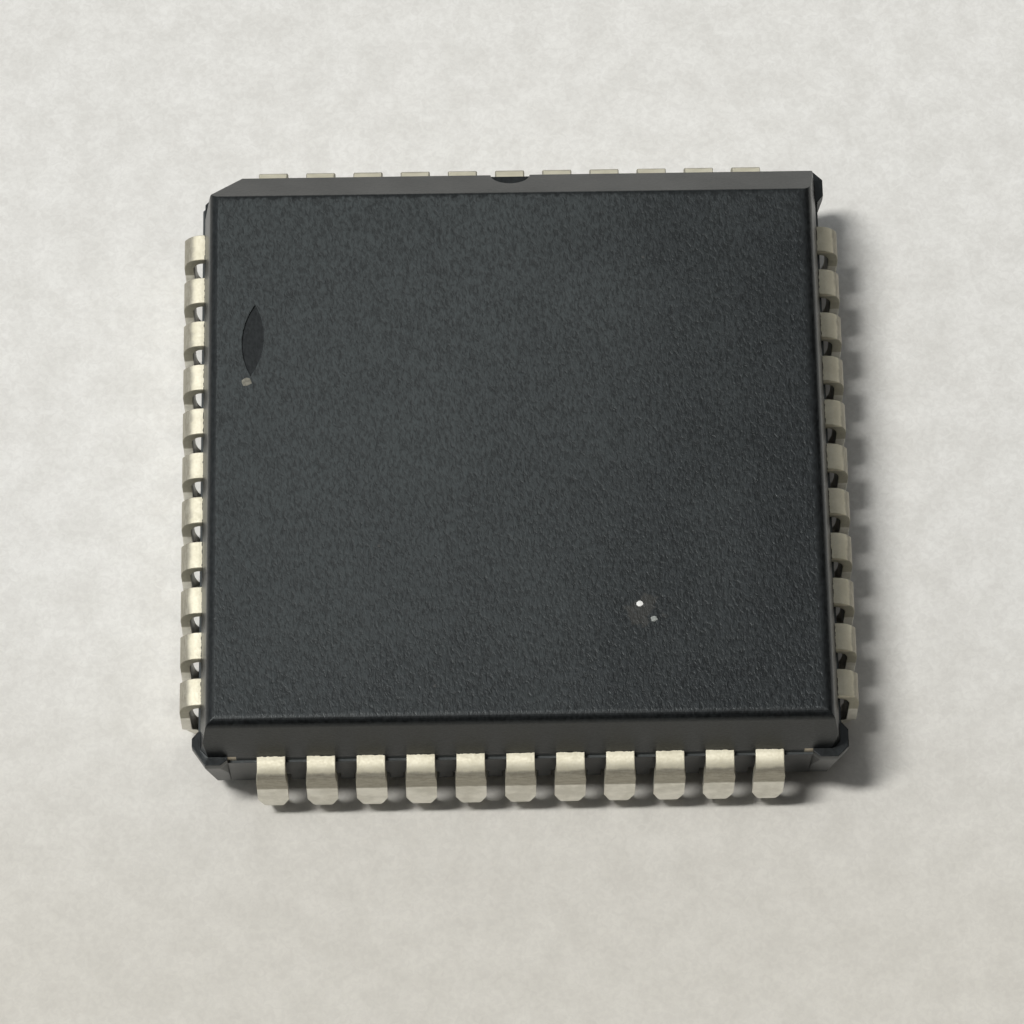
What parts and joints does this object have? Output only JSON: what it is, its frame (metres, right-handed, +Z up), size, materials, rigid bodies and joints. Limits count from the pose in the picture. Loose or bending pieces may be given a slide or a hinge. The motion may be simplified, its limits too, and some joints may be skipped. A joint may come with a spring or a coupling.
{
  "type": "plastic leaded chip carrier",
  "caption": "Square black moulded chip package with J-leads curled under all four sides, a cut corner and a bevelled edge beside lead 1.",
  "frame": {"origin": "centre of the footprint, on the plane that the leads stand on", "axes": "+Z up through the top face, +Y towards the side that holds lead 1, X along the front row of leads"},
  "size_m": [0.0174, 0.0174, 0.0044],
  "materials": {
    "body": "fine-grained black epoxy moulding compound, smoother on the walls and bevel",
    "tin_plate": "satin tin-lead plate, slightly worn by handling",
    "copper_alloy": "bare copper alloy strip",
    "adhesive": "silver-filled epoxy",
    "silicon": "polished silicon",
    "gold": "fine drawn gold wire"
  },
  "bodies": {
    "root": {"moulded_body": "body", "die_paddle": "copper_alloy", "die_attach": "adhesive", "silicon_die": "silicon", "bond_wires": "gold", "lead_01": "tin_plate", "lead_02": "tin_plate", "lead_03": "tin_plate", "lead_04": "tin_plate", "lead_05": "tin_plate", "lead_06": "tin_plate", "lead_07": "tin_plate", "lead_08": "tin_plate", "lead_09": "tin_plate", "lead_10": "tin_plate", "lead_11": "tin_plate", "lead_12": "tin_plate", "lead_13": "tin_plate", "lead_14": "tin_plate", "lead_15": "tin_plate", "lead_16": "tin_plate", "lead_17": "tin_plate", "lead_18": "tin_plate", "lead_19": "tin_plate", "lead_20": "tin_plate", "lead_21": "tin_plate", "lead_22": "tin_plate", "lead_23": "tin_plate", "lead_24": "tin_plate", "lead_25": "tin_plate", "lead_26": "tin_plate", "lead_27": "tin_plate", "lead_28": "tin_plate", "lead_29": "tin_plate", "lead_30": "tin_plate", "lead_31": "tin_plate", "lead_32": "tin_plate", "lead_33": "tin_plate", "lead_34": "tin_plate", "lead_35": "tin_plate", "lead_36": "tin_plate", "lead_37": "tin_plate", "lead_38": "tin_plate", "lead_39": "tin_plate", "lead_40": "tin_plate", "lead_41": "tin_plate", "lead_42": "tin_plate", "lead_43": "tin_plate", "lead_44": "tin_plate"}
  },
  "joints": []
}
